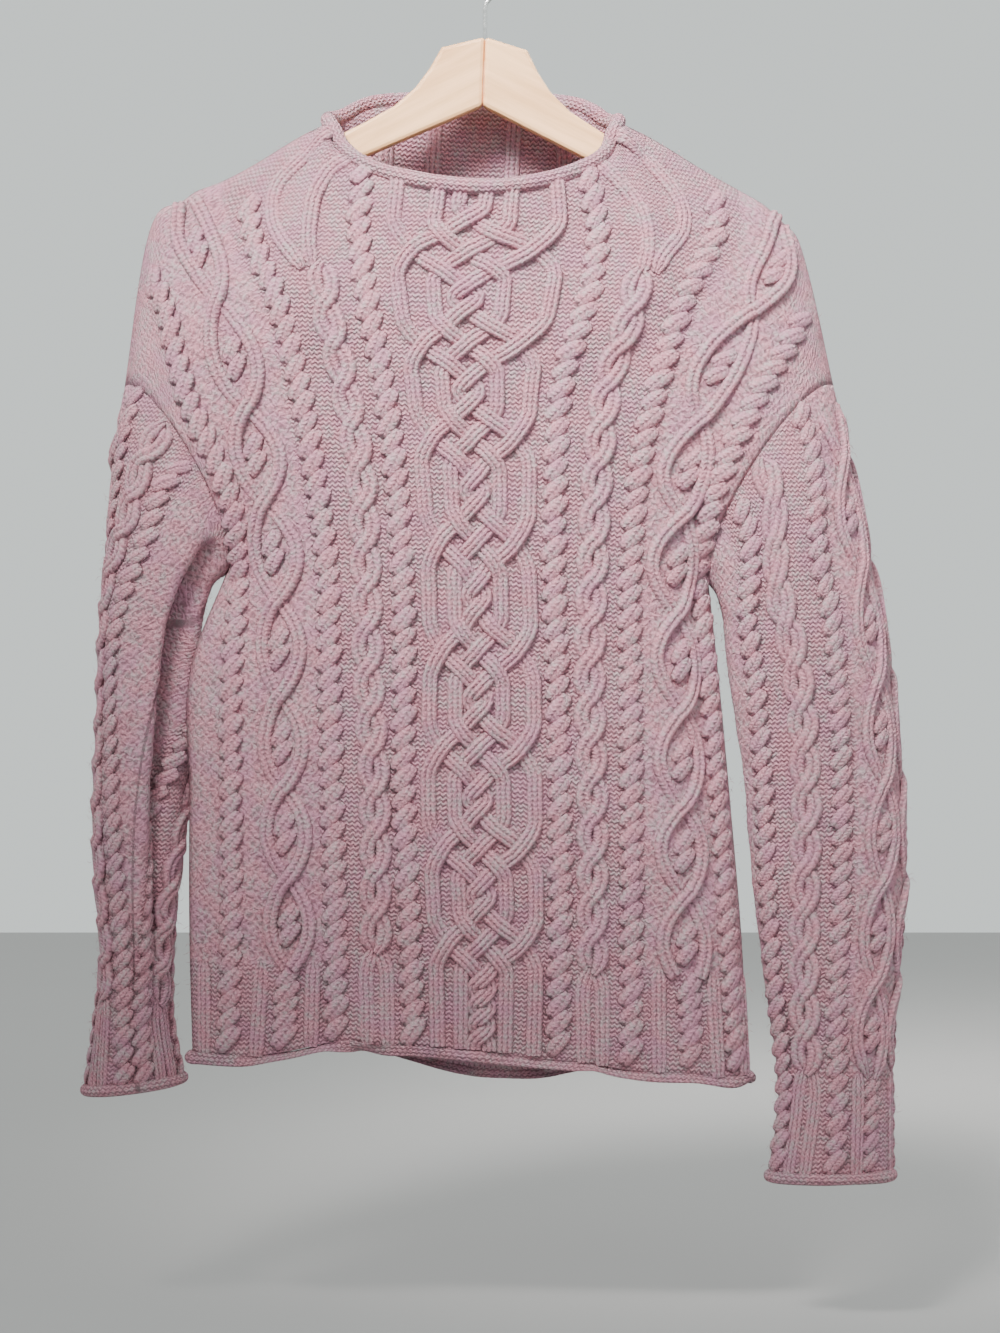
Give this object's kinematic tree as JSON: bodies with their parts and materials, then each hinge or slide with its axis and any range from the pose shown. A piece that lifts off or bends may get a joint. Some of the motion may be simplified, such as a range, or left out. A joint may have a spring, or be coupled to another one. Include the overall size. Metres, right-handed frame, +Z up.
{
  "type": "cable knit sweater on a hanger",
  "caption": "Long-sleeved cable knit sweater with rolled neck, hem and cuffs, hanging on a wooden hanger with a wire hook.",
  "frame": {"origin": "under the top of the wire hook, where a rail carries it", "axes": "+X to the right as seen from the front, +Y from the front to the back, +Z up"},
  "size_m": [0.5666, 0.1131, 0.8506],
  "materials": {
    "mauve_wool": "soft heathered wool",
    "pale_wood": "clear satin varnish",
    "bright_steel": "bright plated wire"
  },
  "bodies": {
    "root": {"front_panel": "mauve_wool", "back_panel": "mauve_wool", "sleeve_left": "mauve_wool", "sleeve_right": "mauve_wool", "neck_roll": "mauve_wool", "hem_roll_front": "mauve_wool", "hem_roll_back": "mauve_wool", "cuff_roll_left": "mauve_wool", "cuff_roll_right": "mauve_wool", "hanger_left_arm": "pale_wood", "hanger_right_arm": "pale_wood", "hanger_hook": "bright_steel"}
  },
  "joints": []
}
